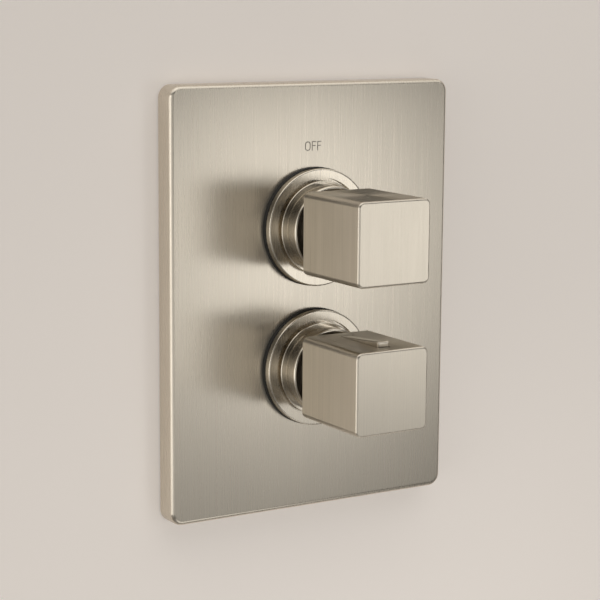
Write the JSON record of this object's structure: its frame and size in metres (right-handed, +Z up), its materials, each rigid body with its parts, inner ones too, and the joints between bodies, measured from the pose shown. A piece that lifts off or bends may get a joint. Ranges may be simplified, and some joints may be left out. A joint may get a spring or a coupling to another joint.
{
  "type": "shower valve trim",
  "caption": "Wall trim for a thermostatic shower valve: tall rounded plate with two round sleeves, square turning knobs and a safety override key.",
  "frame": {"origin": "on the temperature valve's axis, the lower knob's, in the plane of the finished wall", "axes": "+Z up along the plate, -Y out of the wall towards the user, X across the plate"},
  "size_m": [0.157, 0.0824, 0.21],
  "materials": {
    "plate_nickel": "warm nickel, fine vertical brushing",
    "turned_nickel": "warm nickel, circular brushing",
    "knob_nickel": "warm nickel, fine vertical brushing",
    "seal_foam": "closed-cell foam",
    "seal_rubber": "matt moulded rubber",
    "bush_plastic": "natural acetal",
    "carrier_plastic": "glass-filled nylon",
    "limit_plastic": "red acetal",
    "plug_plastic": "nickel-coloured plastic",
    "insert_brass": "machined brass",
    "screw_steel": "stainless steel",
    "spring_steel": "drawn spring wire"
  },
  "bodies": {
    "wall_trim": {"face_plate": "plate_nickel", "plate_seal": "seal_foam", "volume_dress_ring": "turned_nickel", "volume_ring_gasket": "seal_rubber", "volume_sleeve": "turned_nickel", "volume_sleeve_oring": "seal_rubber", "volume_glide_bush": "bush_plastic", "temp_dress_ring": "turned_nickel", "temp_ring_gasket": "seal_rubber", "temp_sleeve": "turned_nickel", "temp_sleeve_oring": "seal_rubber", "temp_glide_bush": "bush_plastic", "temp_limit_ring": "limit_plastic"},
    "volume_knob": {"volume_knob_shell": "knob_nickel", "volume_carrier": "carrier_plastic", "volume_cover_screws": "screw_steel", "volume_stem_insert": "insert_brass", "volume_set_screw": "screw_steel", "volume_screw_plug": "plug_plastic"},
    "temp_knob": {"temp_knob_shell": "knob_nickel", "temp_carrier": "carrier_plastic", "temp_cover_screws": "screw_steel", "temp_stem_insert": "insert_brass", "temp_set_screw": "screw_steel", "temp_screw_plug": "plug_plastic", "override_pin": "screw_steel", "override_spring": "spring_steel"},
    "override_key": {"override_lever": "knob_nickel"}
  },
  "joints": [
    {"name": "volume_turn", "type": "hinge", "parent": "wall_trim", "child": "volume_knob", "pos_m": [0, -0.0352, 0.0692], "axis": [0, -1, 0], "range_deg": [0, 90]},
    {"name": "temp_turn", "type": "hinge", "parent": "wall_trim", "child": "temp_knob", "pos_m": [0, -0.0352, 0], "axis": [0, -1, 0], "range_deg": [-135, 45]},
    {"name": "override_press", "type": "hinge", "parent": "temp_knob", "child": "override_key", "pos_m": [0, -0.046, 0.0156], "axis": [1, 0, 0], "range_deg": [0, 5.2], "stiffness_Nm_per_rad": 0.8, "springref_deg": -2.86, "deforming": ["override_spring"]}
  ]
}
